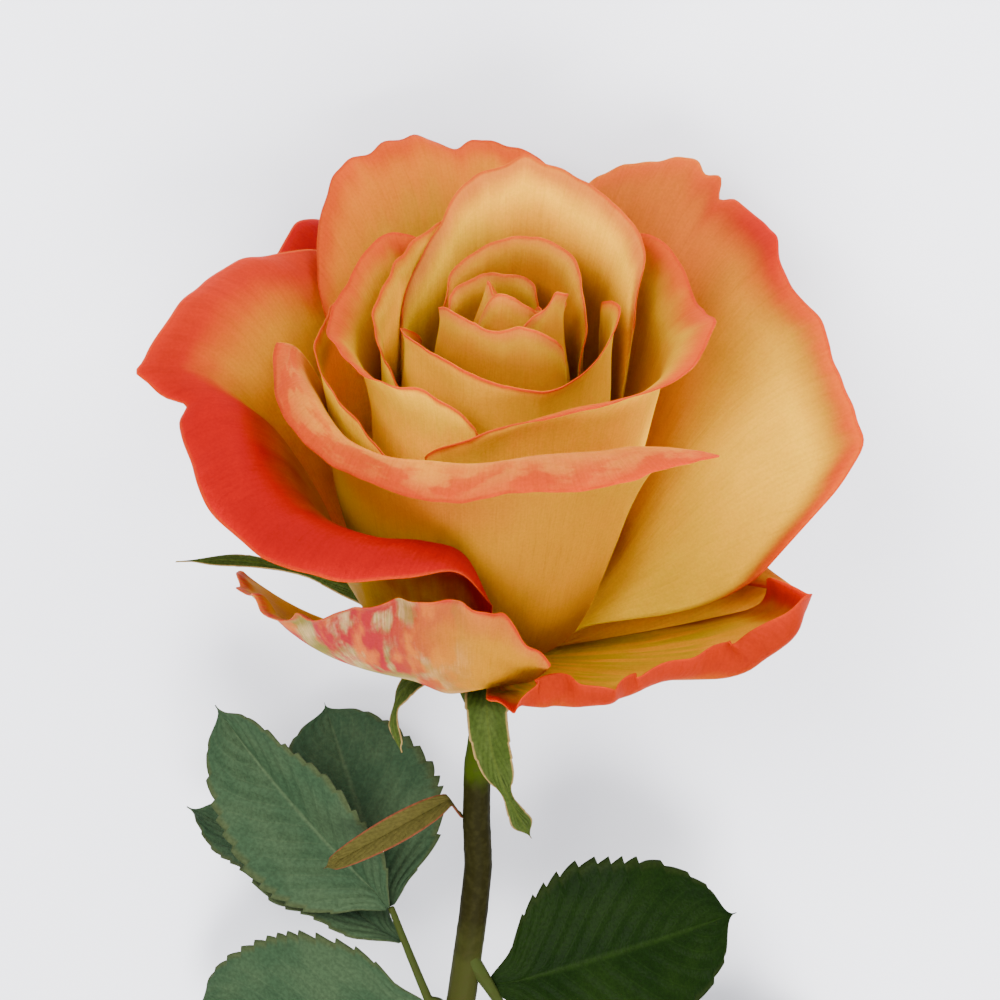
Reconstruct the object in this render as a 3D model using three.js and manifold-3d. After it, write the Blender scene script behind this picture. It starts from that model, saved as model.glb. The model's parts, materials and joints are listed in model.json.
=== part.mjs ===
// A cut hybrid-tea rose lying on its side: a half-open bloom of 22 petals, five sepals, a hip,
// a prickly stem, a bract and four compound leaves. Millimetres, +Z up, +Y from the cut end to the bloom.
// Every petal, sepal and leaflet is a thin sheet: a grid of points given a thickness.
import * as THREE from "three";
import Module from "manifold-3d";

const wasm = await Module();
wasm.setup();

// ---------------------------------------------------------------- driving dimensions
const PETAL_THICK = 0.5;
const LEAF_THICK = 0.6;
const SEPAL_THICK = 0.7;
const CLEARANCE = 0.35; // kept between two petals, and between pieces that only touch
const BLOOM_PITCH = 14; // degrees that the bloom's axis rises from the horizontal
const AXIS_HEIGHT = 36.6; // height of the petals' base above the surface
const PETAL_BASE_RADIUS = 5.5; // where the petals leave the hip
const PETAL_BASE_TOP = 6; // height at which the innermost petal leaves the hip
const PETAL_BASE_BOTTOM = -4; // and the outermost one
const LINE = 10; // degrees between the ribs of a petal, shared by all petals so that they nest

const rad = THREE.MathUtils.degToRad;

// ---------------------------------------------------------------- colours
const look = (colour, roughness) =>
  new THREE.MeshStandardMaterial({ color: colour, roughness, metalness: 0, side: THREE.DoubleSide });
const PETAL_INNER = look(0xf0b429, 0.6);
const PETAL_OUTER = look(0xe8553a, 0.6);
const SEPAL_GREEN = look(0x5d7d2c, 0.65);
const STEM_GREEN = look(0x5c6b34, 0.55);
const LEAF_GREEN = look(0x24501f, 0.5);

// ---------------------------------------------------------------- sheets
// A closed solid from a grid of points: grid[i][j] is on the middle of the sheet, and the
// outside is the side that (step along i) x (step along j) points to.
function sheetGeometry(grid, thickness) {
  const across = grid.length;
  const along = grid[0].length;
  const positions = [];
  const put = (p, n, side) => positions.push(...p.clone().addScaledVector(n, side).toArray());
  const normals = grid.map((row, i) => row.map((_, j) => sheetNormal(grid, i, j)));
  for (const side of [thickness / 2, -thickness / 2])
    grid.forEach((row, i) => row.forEach((p, j) => put(p, normals[i][j], side)));
  const at = (i, j, sheet) => sheet * across * along + i * along + j;
  const index = [];
  for (let i = 0; i + 1 < across; i++)
    for (let j = 0; j + 1 < along; j++) {
      for (const [p, q] of [[[i + 1, j], [i + 1, j + 1]], [[i + 1, j + 1], [i, j + 1]]]) {
        index.push(at(i, j, 0), at(...p, 0), at(...q, 0));
        index.push(at(i, j, 1), at(...q, 1), at(...p, 1));
      }
    }
  // The edge all round, walked with the outside on its left.
  const edge = [];
  for (let i = 0; i + 1 < across; i++) edge.push([i, 0]);
  for (let j = 0; j + 1 < along; j++) edge.push([across - 1, j]);
  for (let i = across - 1; i > 0; i--) edge.push([i, along - 1]);
  for (let j = along - 1; j > 0; j--) edge.push([0, j]);
  edge.forEach((p, k) => {
    const q = edge[(k + 1) % edge.length];
    index.push(at(...p, 0), at(...p, 1), at(...q, 1));
    index.push(at(...p, 0), at(...q, 1), at(...q, 0));
  });
  const geometry = new THREE.BufferGeometry();
  geometry.setAttribute("position", new THREE.Float32BufferAttribute(positions, 3));
  geometry.setIndex(index);
  geometry.computeVertexNormals();
  return geometry;
}

function sheetNormal(grid, i, j) {
  const clampI = (k) => grid[Math.min(Math.max(k, 0), grid.length - 1)];
  const clampJ = (row, k) => row[Math.min(Math.max(k, 0), row.length - 1)];
  const alongI = clampJ(clampI(i + 1), j).clone().sub(clampJ(clampI(i - 1), j));
  const alongJ = clampJ(grid[i], j + 1).clone().sub(clampJ(grid[i], j - 1));
  return alongI.cross(alongJ).normalize();
}

// ---------------------------------------------------------------- petals
// The bloom's own frame: +Z along its axis, azimuth 0 towards -Y (its front, which lies
// uppermost), 90 towards +X. A key is [azimuth, reach, height, roll] of a point on the rim:
// reach is its distance from the axis, and roll is the way that the petal runs as it ends,
// 0 straight up, 90 outwards and 180 curled right over. Petals run from the heart outwards,
// and each lies outside all those before it.
const PETALS = [
  { name: "petal_heart_1", lip: 10, step: 20, keys: [
    [-160, 2.6, 56, -14], [-80, 3, 61.5, -14], [0, 2.6, 56, -14]] },
  { name: "petal_heart_2", lip: 10, step: 20, keys: [
    [-60, 3.8, 56.5, -14], [-20, 4, 62, -14], [60, 4.2, 58, -14], [140, 3.8, 56, -14]] },
  { name: "petal_heart_3", lip: 10, step: 20, keys: [
    [140, 6.4, 56.5, -6], [180, 7.2, 58.5, -4], [240, 8, 57.5, -4], [280, 8.4, 55, -4]] },
  { name: "petal_heart_4", lip: 10, step: 20, keys: [
    [-20, 5.8, 55.5, -4], [20, 6.2, 59, 0], [60, 6.8, 62.5, 6], [100, 7.4, 58, 4], [120, 7.4, 54, 0]] },
  { name: "petal_heart_5", lip: 10, step: 20, keys: [
    [-120, 9.4, 54, 0], [-60, 9.2, 60, 4], [0, 9.2, 59.4, 6], [20, 9.3, 60, 4], [60, 9.6, 55, 0]] },
  { name: "petal_heart_6", lip: 10, step: 20, keys: [
    [80, 10.8, 50, 14], [100, 11, 55, 16], [120, 11, 60, 16], [160, 11.4, 62.8, 6], [200, 11.6, 61, 6],
    [240, 11.4, 55, 0]] },
  { name: "petal_inner_front", lip: 8, step: 20, keys: [
    [-120, 14.6, 49, 4], [-60, 15, 56, 10], [-20, 15, 54.5, 16], [20, 15, 52.5, 24], [40, 15.2, 53.5, 30],
    [80, 15.4, 58, 20], [120, 15, 57, 0]] },
  { name: "petal_inner_back", lip: 16, keys: [
    [110, 20, 55, 10], [120, 22, 63, 24], [150, 24, 67.5, 34], [170, 25, 69.5, 34], [200, 22.5, 67, 24],
    [220, 19.5, 59, 10], [240, 18.5, 52, 6]] },
  { name: "petal_inner_left", lip: 12, keys: [
    [-180, 20, 60, 6], [-150, 20.5, 61, 10], [-120, 19.8, 57, 12], [-90, 18.6, 53, 12], [-50, 18, 49, 8]] },
  { name: "petal_middle_left", lip: 14, keys: [
    [-150, 24, 57.5, 30], [-130, 25.5, 59, 40], [-110, 26, 54.5, 50], [-70, 24.6, 52.5, 50],
    [-50, 23, 53.5, 40], [-30, 21, 53, 20], [-10, 19.8, 49.5, 10]] },
  { name: "petal_middle_right", lip: 12, keys: [
    [-30, 21.4, 45, 40], [-20, 21.8, 47.5, 50], [0, 22.6, 51, 70], [20, 23.4, 54, 80], [50, 27, 55.5, 90],
    [70, 29.6, 57, 90], [90, 30, 57.5, 90], [110, 28.6, 57.5, 70], [130, 28.6, 61.5, 40],
    [160, 26, 57, 20]] },
  { name: "petal_middle_under", lip: 10, keys: [
    [-130, 28, 49, 14], [-90, 27.6, 50, 14], [-60, 27, 48, 12], [-40, 26, 44, 10], [-20, 25, 38, 10]] },
  { name: "petal_back_left", lip: 26, keys: [
    [-220, 32, 52, 40], [-200, 37, 58.5, 60], [-180, 41, 62.5, 66], [-160, 43.5, 64.5, 70],
    [-140, 44, 60, 70], [-130, 40, 53, 60], [-120, 34, 44, 40]] },
  { name: "petal_right", lip: 30, keys: [
    [80, 44, 22, 40], [90, 53, 36.5, 60], [100, 51, 44, 66], [120, 47.5, 55.5, 60], [130, 49.5, 58.5, 64],
    [150, 49, 62, 60], [170, 40, 57, 50]] },
  { name: "petal_front", lip: 23, keys: [
    [-90, 31, 49, 100], [-70, 34, 45.5, 130], [-50, 33.5, 42.5, 136], [-20, 33, 43, 140], [10, 34, 45, 140],
    [40, 35.5, 47.5, 110], [60, 38, 45.5, 90]] },
  { name: "petal_left", lip: 24, keys: [
    [-140, 42, 48, 80], [-120, 47, 50.5, 92], [-100, 52, 48.5, 100], [-90, 54.5, 43.5, 108],
    [-80, 49.5, 41.3, 116], [-60, 48, 34, 128], [-50, 46.5, 31.5, 130], [-30, 44, 32.5, 130],
    [-10, 34, 32, 100], [0, 27, 23, 60]] },
  { name: "petal_outer_back", lip: 22, keys: [
    [130, 42, 40, 70], [150, 46, 45, 86], [180, 46.5, 46, 90], [200, 43, 40, 70]] },
  { name: "petal_outer_back_left", lip: 22, keys: [
    [-190, 40, 38, 60], [-150, 48.5, 45, 84], [-140, 50, 48, 90], [-110, 44, 38, 70]] },
  { name: "petal_guard_lower_left", lip: 18, keys: [
    [-80, 39, 15, 40], [-60, 41.5, 19.5, 30], [-40, 38, 24, 10], [-20, 34, 28, 0], [0, 30, 25, 10],
    [20, 28, 14, 40]] },
  { name: "petal_guard_lower_right", lip: 24, keys: [
    [0, 26, 4.5, 90], [20, 35.5, 6, 90], [40, 38.5, 9, 75], [50, 42, 11.5, 70], [60, 50, 14.5, 60],
    [70, 53, 20, 50], [90, 44, 9, 70]] },
  { name: "petal_guard_back_right", lip: 24, keys: [
    [90, 38, 16, 80], [110, 42, 24, 96], [140, 47, 31, 104], [160, 43, 28, 100], [180, 36, 20, 90]] },
  { name: "petal_guard_back_left", lip: 24, keys: [
    [170, 37, 16, 90], [200, 48, 26, 104], [230, 50, 30, 104], [260, 42, 19, 90]] },
];

const BASE_HANDLE = 0.42; // share of a rib's chord that it keeps to its first direction
const BASE_SPREAD_INNER = 26; // degrees from upright at which the innermost petal leaves the hip
const BASE_SPREAD_OUTER = 78; // and the outermost one
const RIB_POINTS = 9;

// Catmull-Rom through values at increasing places, flat past the ends.
function through(places, values, at) {
  let k = 0;
  while (k + 2 < places.length && at > places[k + 1]) k++;
  const span = places[k + 1] - places[k];
  const t = THREE.MathUtils.clamp((at - places[k]) / span, 0, 1);
  const slope = (n) => {
    const lo = Math.max(n - 1, 0);
    const hi = Math.min(n + 1, places.length - 1);
    return ((values[hi] - values[lo]) / (places[hi] - places[lo])) * span;
  };
  const [a, b, m, n] = [values[k], values[k + 1], slope(k), slope(k + 1)];
  return a + t * m + t * t * (3 * (b - a) - 2 * m - n) + t * t * t * (2 * (a - b) + m + n);
}

// The petal's outline in the half-plane at one azimuth, as [radius, height] points.
function ribAt(petal, azimuth, share) {
  const places = petal.keys.map((key) => key[0]);
  const column = (n) => petal.keys.map((key) => key[n]);
  const [reach, height, roll] = [1, 2, 3].map((n) => through(places, column(n), azimuth));
  const spread = rad(THREE.MathUtils.lerp(BASE_SPREAD_INNER, BASE_SPREAD_OUTER, share));
  const baseHeight = THREE.MathUtils.lerp(PETAL_BASE_TOP, PETAL_BASE_BOTTOM, share);
  const start = new THREE.Vector2(PETAL_BASE_RADIUS, baseHeight);
  const end = new THREE.Vector2(reach, height);
  const chord = start.distanceTo(end);
  const first = new THREE.Vector2(Math.sin(spread), Math.cos(spread)).multiplyScalar(chord * BASE_HANDLE);
  const last = new THREE.Vector2(Math.sin(rad(roll)), Math.cos(rad(roll)));
  last.multiplyScalar(Math.min(petal.lip, chord * 0.5));
  const curve = new THREE.CubicBezierCurve(start, start.clone().add(first), end.clone().sub(last), end);
  return curve.getSpacedPoints(RIB_POINTS - 1);
}

// For each azimuth line, how far out the petals placed so far reach at each height.
const FLOOR = -12;
const LEVEL = 0.5;
const LEVELS = 200;
const LINES = 360 / LINE;
const envelope = Array.from({ length: LINES }, () => new Array(LEVELS).fill(0));
const lineOf = (azimuth) => ((Math.round(azimuth / LINE) % LINES) + LINES) % LINES;
const KEEP_OFF = PETAL_THICK + CLEARANCE;

function reachInside(azimuth, height) {
  const at = (height - FLOOR) / LEVEL;
  const k = THREE.MathUtils.clamp(Math.floor(at), 0, LEVELS - 2);
  const levels = envelope[lineOf(azimuth)];
  return Math.max(levels[k], levels[k + 1]);
}

function fillEnvelope(azimuth, rib) {
  const levels = envelope[lineOf(azimuth)];
  for (let n = 0; n + 1 < rib.length; n++)
    for (let t = 0; t <= 1; t += 0.05) {
      const p = rib[n].clone().lerp(rib[n + 1], t);
      const lowest = Math.ceil((p.y - KEEP_OFF - FLOOR) / LEVEL);
      for (let k = lowest; FLOOR + k * LEVEL <= p.y + KEEP_OFF; k++) {
        const up = FLOOR + k * LEVEL - p.y;
        levels[k] = Math.max(levels[k], p.x + Math.sqrt(Math.max(0, KEEP_OFF ** 2 - up ** 2)));
      }
    }
}

// How far each point of a rib has to move outwards to clear the petals inside it.
function shortfall(azimuth, rib) {
  const short = rib.map(() => 0);
  for (let n = 0; n + 1 < rib.length; n++)
    for (let t = 0; t <= 1; t += 0.125) {
      const p = rib[n].clone().lerp(rib[n + 1], t);
      const gap = reachInside(azimuth, p.y) - p.x;
      if (t < 1) short[n] = Math.max(short[n], gap);
      if (t > 0) short[n + 1] = Math.max(short[n + 1], gap);
    }
  return short;
}

const EASE = 0.55; // share of a push that the next rib takes too, so that a petal stays smooth

function nest(azimuths, ribs) {
  for (let pass = 0; pass < 4; pass++) {
    const push = ribs.map((rib, i) => shortfall(azimuths[i], rib));
    for (const order of [1, -1])
      for (let n = 0; n < ribs.length; n++) {
        const i = order > 0 ? n : ribs.length - 1 - n;
        if (!ribs[i - order]) continue;
        push[i].forEach((d, j) => (push[i][j] = Math.max(d, push[i - order][j] * EASE)));
      }
    ribs.forEach((rib, i) => rib.forEach((p, j) => (p.x += push[i][j])));
  }
}

function petalGrid(petal, share) {
  const from = petal.keys[0][0];
  const to = petal.keys.at(-1)[0];
  const azimuths = [];
  for (let a = from; a <= to; a += petal.step ?? LINE) azimuths.push(a);
  const ribs = azimuths.map((a) => ribAt(petal, a, share));
  nest(azimuths, ribs);
  ribs.forEach((rib, i) => {
    fillEnvelope(azimuths[i], rib);
    if (petal.step && ribs[i + 1])
      fillEnvelope(azimuths[i] + LINE, rib.map((p, j) => p.clone().add(ribs[i + 1][j]).multiplyScalar(0.5)));
  });
  return ribs.map((rib, i) => {
    const [sin, cos] = [Math.sin(rad(azimuths[i])), Math.cos(rad(azimuths[i]))];
    return rib.map((p) => new THREE.Vector3(p.x * sin, -p.x * cos, p.y));
  });
}

// ---------------------------------------------------------------- lying on the surface
// From the bloom's own frame to the rose's: the axis lies along +Y, pitched up.
const layBloom = new THREE.Matrix4().makeRotationX(-rad(90 - BLOOM_PITCH)).setPosition(0, 0, AXIS_HEIGHT);

// A petal or leaf that would pass through the surface flattens against it, or against the
// sheets that already lie there.
const SOFTEN = 1.5;
function restOnSurface(point, thickness, below = 0) {
  const lowest = thickness / 2 + below;
  const height = point.z - lowest;
  if (height < SOFTEN) point.z = lowest + SOFTEN * Math.exp(height / SOFTEN - 1);
  return point;
}

const rose = new THREE.Group();
function add(name, geometry, material) {
  const mesh = new THREE.Mesh(geometry, material.clone());
  mesh.name = name;
  rose.add(mesh);
}
function addSheet(name, grid, thickness, material) {
  grid.forEach((row) => row.forEach((p) => restOnSurface(p, thickness)));
  add(name, sheetGeometry(grid, thickness), material);
}

// How many of the petals outside this one reach round to an azimuth.
const reachesTo = (petal, azimuth) => [-360, 0, 360].some((turn) =>
  azimuth + turn >= petal.keys[0][0] - LINE && azimuth + turn <= petal.keys.at(-1)[0] + LINE);
const petalsOutside = (k, azimuth) => PETALS.slice(k + 1).filter((petal) => reachesTo(petal, azimuth)).length;

PETALS.forEach((petal, k) => {
  const share = k / (PETALS.length - 1);
  const grid = petalGrid(petal, share);
  grid.forEach((rib, i) => {
    const below = petalsOutside(k, petal.keys[0][0] + i * (petal.step ?? LINE)) * KEEP_OFF;
    rib.forEach((p) => restOnSurface(p.applyMatrix4(layBloom), PETAL_THICK, below));
  });
  add(petal.name, sheetGeometry(grid, PETAL_THICK), share < 0.5 ? PETAL_INNER : PETAL_OUTER);
});

// ---------------------------------------------------------------- hip and sepals
const HIP_RADIUS = PETAL_BASE_RADIUS - (PETAL_THICK + CLEARANCE * 2) / 2;
const HIP_BOTTOM = -14;
const HIP_PROFILE = [
  [0, HIP_BOTTOM], [2.3, HIP_BOTTOM], [3.6, -12], [4.8, -9], [HIP_RADIUS, -6], [HIP_RADIUS, -3],
  [HIP_RADIUS, 3], [HIP_RADIUS - 0.6, 6], [HIP_RADIUS - 2.4, 8], [0, 8.6]];
const hip = new THREE.LatheGeometry(HIP_PROFILE.map(([r, z]) => new THREE.Vector2(r, z)), 20);
hip.rotateX(Math.PI / 2).applyMatrix4(layBloom);
add("hip", hip, SEPAL_GREEN);

// Each sepal leaves the hip below the petals and bends over. Its path is given in the
// half-plane at its azimuth, as the three [radius, height] points that follow its base, and
// its width as a share of a fifth of the hip.
const SEPAL_BASE = [HIP_RADIUS + 0.8, -5.6];
const SEPAL_ROOM = (2 * Math.PI * SEPAL_BASE[0]) / 5; // width of a fifth of the hip
const SEPALS = [
  { name: "sepal_front", azimuth: 0, swing: 52, width: 0.92, path: [[12, -4], [11, -16], [10.5, -33]] },
  { name: "sepal_right", azimuth: 84, swing: 17, width: 0.9, path: [[20, -8], [30, -3], [40, 5]] },
  { name: "sepal_back_right", azimuth: 150, swing: -10, width: 0.9, path: [[14, -4], [17, -9], [17, -15]] },
  { name: "sepal_back_left", azimuth: 216, swing: 42, width: 0.9, path: [[20, -11], [36, -7], [50, 3]] },
  { name: "sepal_left", azimuth: 288, swing: 24, width: 0.78, path: [[14, -5], [17, -9], [16.5, -15]] },
];
const SEPAL_ACROSS = 5;
const SEPAL_ALONG = 8;
const SEPAL_TIP = 0.4; // half its width
for (const sepal of SEPALS) {
  const turns = [SEPAL_BASE, ...sepal.path].map(([r, z]) => new THREE.Vector2(r, z));
  const path = new THREE.CubicBezierCurve(...turns);
  const widest = (sepal.width * SEPAL_ROOM) / 2;
  const grid = Array.from({ length: SEPAL_ACROSS }, (_, i) =>
    path.getSpacedPoints(SEPAL_ALONG - 1).map((p, j) => {
      const t = j / (SEPAL_ALONG - 1);
      const azimuth = rad(sepal.azimuth + sepal.swing * t * t);
      const half = SEPAL_TIP + (widest - SEPAL_TIP) * Math.cos((Math.PI / 2) * t) ** 0.8;
      const s = ((2 * i) / (SEPAL_ACROSS - 1) - 1) * half;
      const [sin, cos] = [Math.sin(azimuth), Math.cos(azimuth)];
      const place = new THREE.Vector3(p.x * sin + s * cos, -p.x * cos + s * sin, p.y);
      return place.applyMatrix4(layBloom);
    }),
  );
  addSheet(sepal.name, grid, SEPAL_THICK, SEPAL_GREEN);
}

// ---------------------------------------------------------------- stem
const STEM_LENGTH = 313; // from the hip to the cut, measured along the surface
const STEM_TOP_RADIUS = 2.1;
const STEM_CUT_RADIUS = 3.4;
const STEM_SIDES = 10;
const STEM_RINGS = 34;
const stemTop = new THREE.Vector3(0, 0, HIP_BOTTOM - CLEARANCE).applyMatrix4(layBloom);
const stemCut = new THREE.Vector3(2, stemTop.y - STEM_LENGTH, STEM_CUT_RADIUS + 0.3);
// How far the stem strays from the straight line between its ends: [share, sideways, up].
const STEM_SWAY = [
  [0.04, -0.9, -0.9], [0.09, 0.2, -1.9], [0.14, -0.8, -2.5], [0.3, -4, -3], [0.5, -2.5, -2.4],
  [0.75, 2, -1.4]];
const stemLine = new THREE.CatmullRomCurve3([
  stemTop,
  ...STEM_SWAY.map(([t, x, z]) => stemTop.clone().lerp(stemCut, t).add({ x, y: 0, z })),
  stemCut,
]);
const stemRadius = (t) => THREE.MathUtils.lerp(STEM_TOP_RADIUS, STEM_CUT_RADIUS, t ** 0.8);

// A closed tube along a curve, with a radius at each share of its length.
function tubeGeometry(curve, radiusAt, sides, rings) {
  const frames = curve.computeFrenetFrames(rings, false);
  const positions = [];
  for (let k = 0; k <= rings; k++) {
    const centre = curve.getPointAt(k / rings);
    for (let s = 0; s < sides; s++) {
      const turn = (s / sides) * 2 * Math.PI;
      const p = centre.clone().addScaledVector(frames.normals[k], Math.cos(turn) * radiusAt(k / rings));
      p.addScaledVector(frames.binormals[k], Math.sin(turn) * radiusAt(k / rings));
      positions.push(p.x, p.y, p.z);
    }
  }
  const ends = [curve.getPointAt(0), curve.getPointAt(1)];
  ends.forEach((p) => positions.push(p.x, p.y, p.z));
  const index = [];
  const first = (rings + 1) * sides;
  for (let s = 0; s < sides; s++) {
    const next = (s + 1) % sides;
    for (let k = 0; k < rings; k++) {
      const [here, there] = [k * sides, (k + 1) * sides];
      index.push(here + s, here + next, there + next);
      index.push(here + s, there + next, there + s);
    }
    index.push(first, next, s);
    index.push(first + 1, rings * sides + s, rings * sides + next);
  }
  const geometry = new THREE.BufferGeometry();
  geometry.setAttribute("position", new THREE.Float32BufferAttribute(positions, 3));
  geometry.setIndex(index);
  geometry.computeVertexNormals();
  return geometry;
}

function solidOf(geometry) {
  return new wasm.Manifold(new wasm.Mesh({
    numProp: 3,
    vertProperties: Float32Array.from(geometry.attributes.position.array),
    triVerts: Uint32Array.from(geometry.index.array),
  }));
}

function geometryOf(solid) {
  const { vertProperties, triVerts } = solid.getMesh();
  const geometry = new THREE.BufferGeometry();
  geometry.setAttribute("position", new THREE.Float32BufferAttribute(vertProperties, 3));
  geometry.setIndex(Array.from(triVerts));
  geometry.computeVertexNormals();
  return geometry;
}

// Prickles point back towards the cut: each stands at a share of the stem, turned about it
// from the side that lies uppermost.
const PRICKLES = [
  [0.25, 20], [0.3, 250], [0.36, 120], [0.43, 330], [0.5, 70], [0.56, 210], [0.64, 20], [0.7, 290],
  [0.78, 100], [0.85, 235], [0.92, 340]];
const PRICKLE_LENGTH = 5;
const PRICKLE_RADIUS = 1.5;
function prickle(share, turn) {
  const foot = stemLine.getPointAt(share);
  const away = stemLine.getTangentAt(share);
  const out = new THREE.Vector3(0, 0, 1).applyAxisAngle(away, rad(turn));
  const radius = stemRadius(share);
  const tip = out.clone().multiplyScalar(radius + PRICKLE_LENGTH);
  tip.addScaledVector(away, PRICKLE_LENGTH * 0.45);
  const curve = new THREE.QuadraticBezierCurve3(
    foot.clone().addScaledVector(out, radius * 0.5),
    foot.clone().addScaledVector(out, radius + PRICKLE_LENGTH * 0.6),
    foot.clone().add(tip),
  );
  return solidOf(tubeGeometry(curve, (t) => PRICKLE_RADIUS * (1 - t) ** 1.5 + 0.12, 6, 4));
}
const stemSolid = PRICKLES.reduce(
  (solid, [share, turn]) => solid.add(prickle(share, turn)),
  solidOf(tubeGeometry(stemLine, stemRadius, STEM_SIDES, STEM_RINGS)),
);
add("stem", geometryOf(stemSolid), STEM_GREEN);

// ---------------------------------------------------------------- leaves
// Headings are measured in plan from +Y towards +X, rises from the horizontal.
const heading = (turn, rise) =>
  new THREE.Vector3(Math.sin(rad(turn)), Math.cos(rad(turn)), Math.tan(rad(rise))).normalize();

const LEAF_ACROSS = 5;
const LEAF_ALONG = 7;
const LEAF_EDGE = 0.6; // half the width of a leaflet's base and of its tip
const LEAF_STALK = 0.05; // share of a leaflet that is its stalk

// A leaflet from its base: it runs to a heading, leans over by its tilt, is folded up along
// the midrib and curls down along its length.
function leafletGrid(base, { turn, rise, tilt, length, width, fold, curl }) {
  const ahead = heading(turn, rise);
  const level = ahead.clone().cross(new THREE.Vector3(0, 0, 1)).normalize();
  const side = level.applyAxisAngle(ahead, rad(tilt));
  const face = side.clone().cross(ahead);
  return Array.from({ length: LEAF_ACROSS }, (_, i) =>
    Array.from({ length: LEAF_ALONG }, (_, j) => {
      const s = (2 * i) / (LEAF_ACROSS - 1) - 1;
      const t = j / (LEAF_ALONG - 1);
      const blade = Math.max(0, (t - LEAF_STALK) / (1 - LEAF_STALK));
      const half = LEAF_EDGE + (width / 2 - LEAF_EDGE) * Math.sin(Math.PI * blade ** 0.75) ** 0.72;
      const bend = rad(curl) * t;
      const run = (length * Math.sin(bend)) / rad(curl);
      const sink = (length * (1 - Math.cos(bend))) / rad(curl);
      const up = face.clone().multiplyScalar(Math.cos(bend)).addScaledVector(ahead, Math.sin(bend));
      return base.clone()
        .addScaledVector(ahead, run)
        .addScaledVector(face, -sink)
        .addScaledVector(side, s * half * Math.cos(rad(fold)))
        .addScaledVector(up, Math.abs(s) * half * Math.sin(rad(fold)));
    }),
  );
}

const RACHIS_RADIUS = 0.85;
// Each leaf stands at a share of the stem. Its leaflets are [share of the rachis, side, values]:
// side -1 or 1 for a side leaflet and 0 for the one at the end.
const LEAVES = [
  { name: "leaf_upper_left", share: 0.178, side: -1, turn: -24, rise: -2, length: 20, leaflets: [
    ["end", 1, 0, { turn: -48, rise: 0, tilt: -14, length: 42, width: 25, fold: 26, curl: 22 }],
    ["left", 0.62, -1, { turn: -64, rise: -24, tilt: 62, length: 42, width: 17, fold: 10, curl: 12 }],
    ["base_left", 0.08, -1, { turn: -102, rise: -16, tilt: 16, length: 42, width: 26, fold: 14, curl: 20 }],
    ["right", 0.9, 1, { turn: -26, rise: -30, tilt: 6, length: 35, width: 28, fold: 12, curl: 12 }]] },
  { name: "leaf_upper_right", share: 0.16, side: 1, turn: 136, rise: -14, length: 52, leaflets: [
    ["base_left", 0.0, -1, { turn: 74, rise: -8, tilt: -4, length: 40, width: 34, fold: 8, curl: 16 }],
    ["base_right", 0.4, 1, { turn: 190, rise: -24, tilt: -8, length: 34, width: 19, fold: 10, curl: 20 }],
    ["left", 0.68, -1, { turn: 82, rise: -12, tilt: 0, length: 36, width: 22, fold: 10, curl: 20 }],
    ["right", 0.76, 1, { turn: 196, rise: -18, tilt: 0, length: 36, width: 20, fold: 10, curl: 20 }],
    ["end", 1, 0, { turn: 136, rise: -12, tilt: 0, length: 44, width: 28, fold: 10, curl: 24 }]] },
  { name: "leaf_middle", share: 0.44, side: -1, turn: -58, rise: -10, length: 62, leaflets: [
    ["base_left", 0.36, -1, { turn: -116, rise: -14, tilt: 0, length: 34, width: 21, fold: 10, curl: 20 }],
    ["base_right", 0.42, 1, { turn: 8, rise: -10, tilt: 0, length: 34, width: 21, fold: 10, curl: 20 }],
    ["left", 0.74, -1, { turn: -118, rise: -8, tilt: 0, length: 42, width: 24, fold: 10, curl: 20 }],
    ["right", 0.76, 1, { turn: -8, rise: -8, tilt: 0, length: 40, width: 24, fold: 10, curl: 20 }],
    ["end", 1, 0, { turn: -60, rise: -6, tilt: 0, length: 50, width: 30, fold: 10, curl: 22 }]] },
  { name: "leaf_lower", share: 0.66, side: 1, turn: 56, rise: -6, length: 64, leaflets: [
    ["base_left", 0.38, -1, { turn: 0, rise: -8, tilt: 0, length: 36, width: 22, fold: 10, curl: 20 }],
    ["base_right", 0.34, 1, { turn: 112, rise: -8, tilt: 0, length: 34, width: 21, fold: 10, curl: 20 }],
    ["left", 0.74, -1, { turn: -2, rise: -4, tilt: 0, length: 42, width: 24, fold: 10, curl: 20 }],
    ["right", 0.71, 1, { turn: 112, rise: -4, tilt: 0, length: 42, width: 24, fold: 10, curl: 20 }],
    ["end", 1, 0, { turn: 54, rise: -2, tilt: 0, length: 50, width: 30, fold: 10, curl: 22 }]] },
];
for (const leaf of LEAVES) {
  const ahead = heading(leaf.turn, leaf.rise);
  const stemSide = heading(leaf.side * 90, 0);
  const foot = stemLine.getPointAt(leaf.share);
  foot.addScaledVector(stemSide, stemRadius(leaf.share) + RACHIS_RADIUS + CLEARANCE);
  const rachis = new THREE.QuadraticBezierCurve3(
    foot,
    foot.clone().addScaledVector(ahead, leaf.length / 2).add(new THREE.Vector3(0, 0, leaf.length * 0.05)),
    restOnSurface(foot.clone().addScaledVector(ahead, leaf.length), RACHIS_RADIUS * 2),
  );
  add(leaf.name + "_rachis", tubeGeometry(rachis, (t) => RACHIS_RADIUS * (1 - 0.3 * t), 6, 10), LEAF_GREEN);
  for (const [name, share, side, values] of leaf.leaflets) {
    const off = side ? RACHIS_RADIUS + LEAF_THICK / 2 + CLEARANCE : LEAF_THICK / 2 + CLEARANCE;
    const base = rachis.getPointAt(share);
    base.addScaledVector(heading(values.turn, values.rise), off * (side ? 1.8 : 1));
    addSheet(leaf.name + "_leaflet_" + name, leafletGrid(base, values), LEAF_THICK, LEAF_GREEN);
  }
}

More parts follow.
